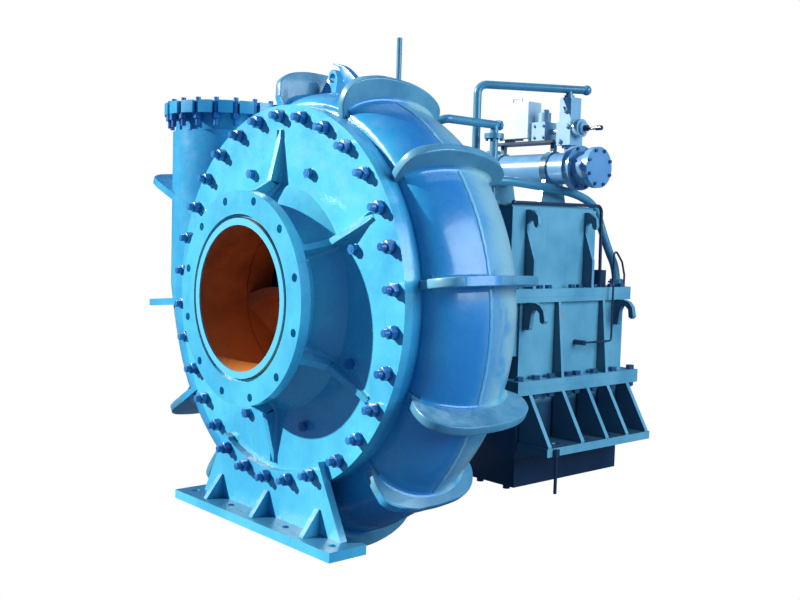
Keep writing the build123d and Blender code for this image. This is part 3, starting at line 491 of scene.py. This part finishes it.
def hex_nut(across, height, collar=0.0):
    """A chamfered hexagon along Z from 0 to height, on a washer below 0 if collar is given."""
    corner = across / sqrt(3)
    end_r = across * 0.47
    fall = (corner - end_r) * 0.55
    bpy.ops.mesh.primitive_cylinder_add(vertices=6, radius=corner, depth=height, location=(0, 0, height / 2))
    nut = bpy.context.object
    barrel = [(0, end_r), (fall, corner * 1.001), (height - fall, corner * 1.001), (height, end_r)]
    body = turned_rod(barrel, 48)
    only(nut)
    cut = nut.modifiers.new("chamfer", "BOOLEAN")
    cut.operation = "INTERSECT"
    cut.object = body
    bpy.ops.object.modifier_apply(modifier=cut.name)
    bpy.data.objects.remove(body)
    if collar:
        washer = [(-collar, across * 0.58), (-collar * 0.8, across * 0.61), (-collar * 0.25, across * 0.61),
                  (0, across * 0.585)]
        nut = join([nut, turned_rod(washer, 32)], "nut")
    return nut


# Cover studs and nuts
stud_circle = 0.575
washer_thick = 0.004
nut_high = 0.021
foot_plate = 0.025          # thickness of the front foot's plate under the lowest nuts
nut_places = []
stud_ends = []
for k, (x, z) in enumerate(ring_points(stud_circle, 30, 90)):
    on_foot = z < -0.481 and abs(x) < 0.265
    y = F - foot_plate if on_foot else F
    nut_places.append(looking((x, y - washer_thick, z), (0, -1, 0), 0.7 * k))
    stud_ends.append(looking((x, y - washer_thick - nut_high, z), (0, -1, 0)))
# the nuts and stud ends take the darker copy of the blue, painted shade
nuts = copies(hex_nut(0.0345, nut_high, washer_thick), nut_places, "hex_nuts_on_cover")
dress(nuts, blue_nuts_shaded, stands_for=("cover_nuts",))
tips = copies(threaded(0.0203, 0.0118), stud_ends, "stud_threads_on_cover")
dress(tips, blue_nuts_shaded, smooth=20)


# Tools for castings
def skin_of(obj):
    shape = obj.data
    corners = [v.co.copy() for v in shape.vertices]
    return BVHTree.FromPolygons(corners, [tuple(p.vertices) for p in shape.polygons])


def merged_copy(node, name):
    """A copy of a node's mesh with its faces joined at their edges, ready for shaping."""
    obj = new_object(nodes[node].data.copy(), name)
    obj.data.materials.clear()
    edit_all(obj)
    bpy.ops.mesh.remove_doubles(threshold=merge_gap)
    bpy.ops.object.mode_set(mode="OBJECT")
    bpy.ops.mesh.customdata_custom_splitnormals_clear()
    return obj


def strip(rows, name):
    """A closed bar whose cross-sections are the rows, each a loop of points."""
    shape = bmesh.new()
    grid = [[shape.verts.new(p) for p in row] for row in rows]
    n = len(grid[0])
    for a, b in zip(grid, grid[1:]):
        for k in range(n):
            shape.faces.new((a[k], a[(k + 1) % n], b[(k + 1) % n], b[k]))
    shape.faces.new(grid[0])
    shape.faces.new(grid[-1])
    bmesh.ops.recalc_face_normals(shape, faces=shape.faces)
    mesh = bpy.data.meshes.new(name)
    shape.to_mesh(mesh)
    shape.free()
    return new_object(mesh, name)


def pulled(a, corner, b, s):
    """A place on the hollow curve from a to b that the corner pulls in."""
    return a * (1 - s) ** 2 + corner * (2 * s * (1 - s)) + b * s * s


def fillet_row(foot, corner, top, inside):
    """A concave cross-section from foot over the corner to top, closed behind."""
    row = [pulled(foot, corner, top, k / 5) for k in range(6)]
    row.append(top + inside)
    row.append(corner + inside * 1.4)
    row.append(foot + inside)
    return row


def smooth_line(points, steps=7):
    """A round line through the points, open at its ends."""
    p = [Vector((a, b, 0)) for a, b in points]
    p = [p[0] * 2 - p[1]] + p + [p[-1] * 2 - p[-2]]
    out = []
    for a, b, c, d in zip(p, p[1:], p[2:], p[3:]):
        for k in range(steps):
            s = k / steps
            square = (a * 2 - b * 5 + c * 4 - d) * s * s
            cube = (b * 3 - a - c * 3 + d) * s ** 3
            v = (b * 2 + (c - a) * s + square + cube) * 0.5
            out.append((v.x, v.y))
    out.append((p[-2].x, p[-2].y))
    return out


# Volute casing: angle round the shaft, outer radius and depth of the shell's twelve sections
sections = [(125.0, 0.650, 0.045), (98.0, 0.664, 0.052), (67.0, 0.680, 0.062), (37.5, 0.690, 0.070),
            (7.0, 0.706, 0.078), (-23.5, 0.726, 0.092), (-50.0, 0.752, 0.118), (-77.0, 0.780, 0.140),
            (-104.0, 0.808, 0.165), (-130.0, 0.850, 0.188), (-155.0, 0.898, 0.205), (-180.0, 0.945, 0.215)]
rib_angles = [98.0, 67.5, 37.5, 7.0, -23.5, -50.0, -77.0, -104.0, -126.0, -148.0]
solid_rib_angles = rib_angles + [-175.0, 157.0]
pipe_x, pipe_y, pipe_r = -0.730, F + 0.2675, 0.215          # the discharge pipe
solid_mid, solid_half = F + 0.2675, 0.2025          # middle and half width of the solid's shell
slim_mid, slim_half = F + 0.240, 0.175          # the same for the narrower shell
wide_from, wide_to = -104.0, -180.0          # angles between which the shell widens
solid_half_gain, slim_mid_gain, slim_half_gain = 0.0125, 0.0275, 0.040          # gained on that stretch
shell_front, shell_back, shell_mouth_r = F + 0.066, F + 0.4706, 0.4790
boss_x, boss_y = 0.1, F + 0.4          # boss of the vent pipe
solid_horn_front, solid_horn_back = F + 0.055, F + 0.0835
lug_front, lug_back, lug_left, lug_right = F + 0.21, F + 0.245, -0.08, 0.03
eye_x, eye_z, eye_r = -0.022, 0.722, 0.018          # the lifting eye and the edge of its hole
lug_slim, lug_low = 0.66, 0.76          # shares of the lug's width and height that are left


def spiral(angle):
    """Outer radius and depth of the shell at an angle."""
    for (t0, r0, b0), (t1, r1, b1) in zip(sections, sections[1:]):
        if t1 <= angle <= t0:
            s = (t0 - angle) / (t0 - t1)
            return r0 + (r1 - r0) * s, b0 + (b1 - b0) * s
    return sections[0][1:] if angle > 0 else sections[-1][1:]


def widening(angle):
    """How far an angle is into the stretch that widens towards the discharge pipe, 0 to 1."""
    return max(0.0, wide_from - angle) / (wide_from - wide_to)


def across(angle, y):
    """Where y is across the solid's shell, from -1 to 1."""
    return (y - solid_mid) / (solid_half + solid_half_gain * widening(angle))


def slim_place(angle):
    """Middle and half width of the narrower shell at an angle."""
    share = widening(angle)
    return slim_mid + slim_mid_gain * share, slim_half + slim_half_gain * share


def solid_radius(angle, y):
    """Outer radius of the solid's shell at a place across its width."""
    big_r, deep = spiral(angle)
    u = across(angle, y)
    if abs(u) >= 1:
        return big_r - deep
    return big_r - deep + deep * sqrt(1 - u * u)


def keeps_place(x, y, z, r, angle, top):
    """True for the flanges, the discharge pipe, the solid's ribs, the lug and the vent's boss."""
    if not shell_front <= y <= shell_back or r < shell_mouth_r:
        return True
    off_pipe = sqrt((x - pipe_x) ** 2 + (y - pipe_y) ** 2)
    at_pipe = abs(off_pipe - pipe_r) < 0.0015 or off_pipe < pipe_r - 0.02
    if z > 0 and x < -0.2 and (at_pipe or z > 0.570):
        return True
    if r <= top + 0.008:
        return False
    off_rib = min(abs(r * sin(radians(angle - rib))) for rib in solid_rib_angles)
    at_lug = lug_left < x < lug_right and z > 0.6
    at_boss = 0.0075 < sqrt((x - boss_x) ** 2 + (y - boss_y) ** 2) < 0.0255
    return off_rib < 0.0145 or at_lug or at_boss


shell = merged_copy("volute_casing", "casing_shell")
for v in shell.data.vertices:
    x, y, z = v.co
    r = sqrt(x * x + z * z)
    angle = degrees(atan2(z, x))
    top = solid_radius(angle, y)
    on_top = z > 0.60 and r > top + 0.004
    if on_top and x > 0.1 and solid_horn_front < y < solid_horn_back:
        # the horn of the solid is pressed flush with the shell
        s = (top + 0.0004) / r
        v.co = (x * s, y, z * s)
    elif on_top and lug_left < x < lug_right and lug_front < y < lug_back:
        # the lug is slimmer round the same eye
        if sqrt((x - eye_x) ** 2 + (z - eye_z) ** 2) > eye_r:
            v.co.x = eye_x + (x - eye_x) * lug_slim
            v.co.z = eye_z + (z - eye_z) * lug_low if z > eye_z else z
    elif not keeps_place(x, y, z, r, angle, top):
        mid, half = slim_place(angle)
        v.co.y = mid + half * across(angle, y)
shell.data.update()
casing = skin_of(shell)

# Cast ribs: outlines in mm, behind the cover's face and away from the shaft axis
rib_shapes = {
    98.0: ((46, 654), (52, 700), (70, 722), (100, 738), (155, 748), (205, 749),
           (260, 746), (315, 737), (365, 720), (405, 697), (432, 668), (438, 640)),
    67.5: ((53, 612), (39, 655), (48, 702), (85, 733), (155, 749), (205, 750),
           (255, 747), (318, 738), (380, 717), (424, 690), (440, 662), (436, 640)),
    37.5: ((53, 600), (38, 646), (38, 704), (66, 741), (140, 764), (205, 765),
           (260, 760), (321, 748), (389, 724), (440, 692), (462, 660), (455, 636)),
    7.0: ((56, 612), (43, 682), (52, 728), (85, 755), (150, 770), (210, 772),
          (265, 769), (320, 762), (375, 749), (424, 727), (452, 696), (450, 662)),
    -23.5: ((52, 634), (26, 690), (24, 750), (62, 792), (128, 815), (207, 819),
            (294, 813), (361, 797), (421, 764), (449, 722), (452, 690), (432, 664)),
    -50.0: ((54, 630), (44, 690), (58, 738), (90, 768), (155, 790), (205, 791),
            (265, 790), (350, 780), (404, 756), (436, 720), (448, 684), (442, 650)),
    -104.0: ((50, 680), (45, 740), (52, 785), (82, 815), (150, 830), (205, 832),
             (260, 830), (315, 820), (365, 806), (410, 782), (440, 750), (452, 712)),
}
# Three ribs share one outline under the crown, with the crown's and the front corner's radius
shared_edge = ((45, 93), (52, 47), (82, 17), (150, 1), (205, 0), (260, 3),
               (315, 13), (365, 29), (410, 53), (440, 85), (452, 123))
for angle, crown, corner in ((-77.0, 829, 660), (-126.0, 893, 740), (-148.0, 955, 800)):
    rib_shapes[angle] = ((50, corner),) + tuple((y, crown - drop) for y, drop in shared_edge)
rib_thick = 0.028
rib_foot = [(F + 0.390, 0.590), (F + 0.090, 0.590)]          # inside the shell
ribs = []
for angle in rib_angles:
    out, along = round_shaft(angle)
    edge = [(F + y / 1000, r / 1000) for y, r in smooth_line(rib_shapes[angle])]
    face = [out * r + Vector((0, y, 0)) - along * rib_thick / 2 for y, r in edge + rib_foot]
    ribs.append(cut_plate(face, along * rib_thick, 0.0045, "rib"))

# Lifting horn: its hollow side, then its back, as (x, z)
horn_line = smooth_line([(0.128, 0.620), (0.136, 0.672), (0.131, 0.692), (0.119, 0.712), (0.101, 0.738),
                         (0.071, 0.749)], 4)
horn_line += smooth_line([(0.072, 0.751), (0.095, 0.747), (0.131, 0.735), (0.168, 0.711), (0.191, 0.690),
                          (0.207, 0.668), (0.201, 0.620)], 4)
horn_y = F + 0.142
horn = cut_plate([(x, horn_y, z) for x, z in horn_line], (0, 0.022, 0), 0.003, "horn")
dress(join([shell, horn], "cast_volute_casing"), blue, stands_for=("volute_casing",),
      smooth=38)
# the ribs take the darker copy of the blue, painted shade
dress(join(ribs, "casing_ribs"), blue_ribs_shaded, smooth=42)


probe_from, probe_reach = 0.06, 0.14


def shell_hit(angle, turn, aside):
    """Where the casing's skin is, seen from outside at a place round the section."""
    out, along = round_shaft(angle)
    big_r, deep = spiral(angle)
    mid, half = slim_place(angle)
    c, d = cos(turn), sin(turn)
    at = out * (big_r - deep + deep * d) + Vector((0, mid + half * c, 0)) + along * aside
    normal = (Vector((0, 1, 0)) * (c / half) + out * (d / deep)).normalized()
    hit = casing.ray_cast(at + normal * probe_from, -normal, probe_reach)
    return hit[0], normal, along


# Fillets at the roots of the casing's ribs
root_wide = 0.015
fillets = []
for angle in rib_angles:
    for side in (1, -1):
        rows = []
        for k in range(41):
            turn = radians(14 + 152 * k / 40)
            foot, normal, along = shell_hit(angle, turn, side * (rib_thick / 2 + root_wide))
            if foot is None:
                continue
            corner = foot - along * side * root_wide
            top = corner + normal * root_wide
            rows.append(fillet_row(foot, corner, top, (-normal - along * side) * 0.0045))
        if len(rows) > 4:
            fillets.append(strip(rows, "root"))
dress(join(fillets, "rib_root_fillets"), blue, smooth=60)

# Parting seam: a low, uneven bead along the crown of the shell, between the ribs
bead_half, bead_high = 0.0075, 0.0042
past_rib = 1.6          # degrees from the middle of a rib
across_seam = Vector((0, 1, 0))
seam = []
for k, (rib, following) in enumerate(zip(rib_angles, rib_angles[1:])):
    first, last = rib - past_rib, following + past_rib
    rows = []
    for j in range(25):
        angle = first + (last - first) * j / 24
        hit, normal, along = shell_hit(angle, radians(90), 0.0)
        if hit is None or sqrt(hit.x ** 2 + hit.z ** 2) > spiral(angle)[0] + 0.012:
            continue
        sway = 0.0011 * sin(j * 2.1 + k)
        row = []
        for m in range(9):
            s = pi * m / 8
            aside, up = bead_half * cos(s) + sway, bead_high * sin(s) - 0.0004
            row.append(hit + across_seam * aside + normal * up)
        row.append(hit - across_seam * 0.0065 - normal * 0.004)
        row.append(hit + across_seam * 0.0065 - normal * 0.004)
        rows.append(row)
    if len(rows) > 4:
        seam.append(strip(rows, "seam"))
# the bead takes the paler copy of the blue, a painted highlight
dress(join(seam, "casing_parting_seam"), blue_seam_highlight, smooth=60)


# Oil return pipe, a bent steel tube with a union at each end
def tube(points, r, name):
    """A round tube whose middle is drawn towards the points."""
    line = bpy.data.curves.new(name, "CURVE")
    line.dimensions = "3D"
    spline = line.splines.new("NURBS")
    spline.points.add(len(points) - 1)
    for p, at in zip(spline.points, points):
        p.co = (*at, 1)
    spline.order_u = 3
    spline.use_endpoint_u = True
    spline.resolution_u = 10
    line.bevel_depth = r
    line.bevel_resolution = 5
    line.use_fill_caps = True
    only(new_object(line, name))
    bpy.ops.object.convert(target="MESH")
    edit_all(bpy.context.object)
    bpy.ops.mesh.remove_doubles(threshold=merge_gap)
    bpy.ops.mesh.normals_make_consistent(inside=False)
    bpy.ops.object.mode_set(mode="OBJECT")
    return bpy.context.object


pump_end = (0.120, F + 0.700, 0.2085)
drive_end = (0.218, F + 1.490, 0.0305)
return_line = [pump_end, (0.120, F + 0.704, 0.300), (0.136, F + 0.745, 0.400), (0.160, F + 0.850, 0.421),
               (0.170, F + 1.070, 0.408), (0.171, F + 1.280, 0.390), (0.180, F + 1.385, 0.345),
               (0.190, F + 1.412, 0.265), (0.206, F + 1.447, 0.170), (0.217, F + 1.487, 0.100), drive_end]
return_pieces = [tube(return_line, 0.0165, "return_pipe_run")]
for x, y, z in (pump_end, drive_end):
    union = hex_nut(0.046, 0.026, 0.003)
    union.location = (x, y, z + 0.0035)
    return_pieces.append(seat(union))
dress(join(return_pieces, "oil_return_pipe"), pipe_paint, stands_for=("return_pipe",),
      smooth=40)

# Suction cover: the cone round the neck ends at a smaller radius than on the solid
neck_r, foot_r, solid_foot_r = 0.288, 0.362, 0.470
neck_y = F - 0.070          # where the cone leaves the neck
foot_step = 0.0005          # height of the cone's foot over the flat face
cover_rib_half = 0.010
solid_cone = ((-0.070, 0.288), (-0.034, 0.330), (-0.008, 0.430), (0.0, 0.470))          # (y behind F, r)


def solid_cone_y(r):
    """The face of the solid's cone at a radius."""
    for (y0, r0), (y1, r1) in zip(solid_cone, solid_cone[1:]):
        if r0 <= r <= r1:
            return F + y0 + (y1 - y0) * (r - r0) / (r1 - r0)
    return F


def to_new_foot(x, z):
    """The place on the foot of the cone for a corner at x and z, kept on the side of its rib."""
    corner = Vector((x, 0, z))
    for k in range(6):
        out, along = round_shaft(90 + 60 * k)
        off = corner.dot(along)
        if abs(off) < cover_rib_half + 0.0006 and corner.dot(out) > 0:
            return out * sqrt(foot_r ** 2 - off * off) + along * off
    return corner * (foot_r / corner.length)


cover = merged_copy("front_cover", "suction_cover")
for v in cover.data.vertices:
    x, y, z = v.co
    r = sqrt(x * x + z * z)
    if not neck_r + 0.002 < r < solid_foot_r + 0.0015 or abs(y - solid_cone_y(r)) > 0.0012:
        continue
    if abs(r - solid_cone[1][1]) < 0.0012:
        v.co = to_new_foot(x, z) + Vector((0, F - foot_step, 0))
    elif r < foot_r:
        v.co.y = neck_y + (F - foot_step - neck_y) * (r - neck_r) / (foot_r - neck_r)
    else:
        v.co.y = F - foot_step * max(0.0, (solid_foot_r - r) / (solid_foot_r - foot_r))
cover.data.update()
dress(cover, blue_cover_lit, stands_for=("front_cover",), smooth=32)

# Fillets beside the cover's six ribs and round the neck
cover_line = [(F - 0.1185, 0.286), (neck_y, neck_r), (F - foot_step, foot_r), (F, 0.430), (F, 0.532)]


def on_line(points, s):
    """(y, r) at a share of the line's length, with the direction square to the line."""
    lengths = [sqrt((b[0] - a[0]) ** 2 + (b[1] - a[1]) ** 2) for a, b in zip(points, points[1:])]
    left = s * sum(lengths)
    for a, b, length in zip(points, points[1:], lengths):
        if left <= length or b == points[-1]:
            share = min(1.0, left / length)
            dy, dr = b[0] - a[0], b[1] - a[1]
            return a[0] + dy * share, a[1] + dr * share, -dr / length, dy / length
        left -= length


fillet_wide = 0.010
cover_roots = []
for k in range(6):
    out, along = round_shaft(90 + 60 * k)
    for side in (1, -1):
        rows = []
        for j in range(37):
            y, r, ny, nr = on_line(cover_line, j / 36)
            normal = Vector((0, ny, 0)) + out * nr
            near, far = cover_rib_half, cover_rib_half + fillet_wide
            foot = out * sqrt(r * r - far * far) + Vector((0, y, 0)) + along * side * far
            inner = out * sqrt(r * r - near * near) + Vector((0, y, 0)) + along * side * near
            top = inner + normal * fillet_wide
            rows.append(fillet_row(foot, inner, top, (-normal - along * side) * 0.003))
        cover_roots.append(strip(rows, "cover_root"))

back_y = F - 0.118          # back of the suction flange
flange_side, flange_corner, neck_side = (Vector((y, r)) for y, r in
                                         ((back_y, 0.306), (back_y, 0.2862), (F - 0.098, 0.2865)))
neck_fillet = [tuple(pulled(flange_side, flange_corner, neck_side, k / 8)) for k in range(9)]
neck_fillet += [(F - 0.099, 0.284), (back_y - 0.002, 0.284), (back_y - 0.002, 0.304)]
cover_roots.append(turned_ring(neck_fillet, "neck_fillet"))
dress(join(cover_roots, "cover_fillets"), blue_cover_lit, smooth=60)

# Floor: white to the camera, a dull blue ground to the light
lowest = cad_box[0][2]
bpy.ops.mesh.primitive_plane_add(size=60, location=(0, 0, lowest - 0.001))
floor = bpy.context.object
floor.name = "floor"
floor_paint = Paint("pale_floor")
seen_by_camera = floor_paint.node("ShaderNodeLightPath", out=0)
floor_paint.shader.inputs["Specular IOR Level"].default_value = 0.0
floor_tone = floor_paint.blend(seen_by_camera, (0.12, 0.17, 0.24), (0.0, 0.0, 0.0))
glow = floor_paint.blend(seen_by_camera, (0.0, 0.0, 0.0), (1.0, 1.0, 1.0))
floor_paint.shader.inputs["Emission Strength"].default_value = 1.0
floor.data.materials.append(floor_paint.finish(Base_Color=floor_tone, Roughness=0.9, Emission_Color=glow))

# Sky: white to the camera, a blue fill to the part
world = bpy.data.worlds.new("studio")
bpy.context.scene.world = world
world.use_nodes = True
tree = world.node_tree
tree.nodes.clear()
seen = tree.nodes.new("ShaderNodeBackground")
seen.inputs["Color"].default_value = (1, 1, 1, 1)
seen.inputs["Strength"].default_value = 1.0
fill = tree.nodes.new("ShaderNodeBackground")
fill.inputs["Color"].default_value = (0.20, 0.40, 1.0, 1)
fill.inputs["Strength"].default_value = 0.36
ray = tree.nodes.new("ShaderNodeLightPath")
either = tree.nodes.new("ShaderNodeMixShader")
end = tree.nodes.new("ShaderNodeOutputWorld")
tree.links.new(ray.outputs["Is Camera Ray"], either.inputs[0])
tree.links.new(fill.outputs[0], either.inputs[1])
tree.links.new(seen.outputs[0], either.inputs[2])
tree.links.new(either.outputs[0], end.inputs[0])

# Sun from the front left, and a cool light from the drive side
bpy.ops.object.light_add(type="SUN", rotation=(0, 0, 0))
sun = bpy.context.object
sun.name = "key_light"
sun.data.energy = 7.0
sun.data.angle = radians(1.2)
sun.data.color = (1.0, 0.99, 0.93)
sun_from = Vector((-0.62, -0.66, 0.41))
sun.rotation_euler = sun_from.normalized().to_track_quat("Z", "Y").to_euler()

bpy.ops.object.light_add(type="AREA", location=(4.6, 2.2, 2.0))
side_light = bpy.context.object
side_light.name = "side_light"
side_light.data.shape = "RECTANGLE"
side_light.data.size = 4.0
side_light.data.size_y = 3.0
side_light.data.energy = 285
side_light.data.color = (0.62, 0.84, 1.0)
side_light_from = Vector((4.6, 1.7, 2.0))
side_light.rotation_euler = side_light_from.to_track_quat("Z", "Y").to_euler()

# Camera of the photograph
azimuth, height, roll = radians(48.27), radians(3.78), radians(1.68)
camera_place = (2.67506, -1.70926, 0.21717)
back = Vector((sin(azimuth) * cos(height), -cos(azimuth) * cos(height), sin(height)))
level_right = Vector((cos(azimuth), sin(azimuth), 0))
level_up = back.cross(level_right)
right = level_right * cos(roll) + level_up * sin(roll)
up = level_up * cos(roll) - level_right * sin(roll)
bpy.ops.object.camera_add()
camera = bpy.context.object
camera.name = "photo_camera"
camera.data.sensor_width = 36.0
camera.data.lens = 45.57
camera.data.clip_end = 100
camera.matrix_world = Matrix.Translation(camera_place) @ Matrix((right, up, back)).transposed().to_4x4()
bpy.context.scene.camera = camera
bpy.context.scene.view_settings.view_transform = "Standard"
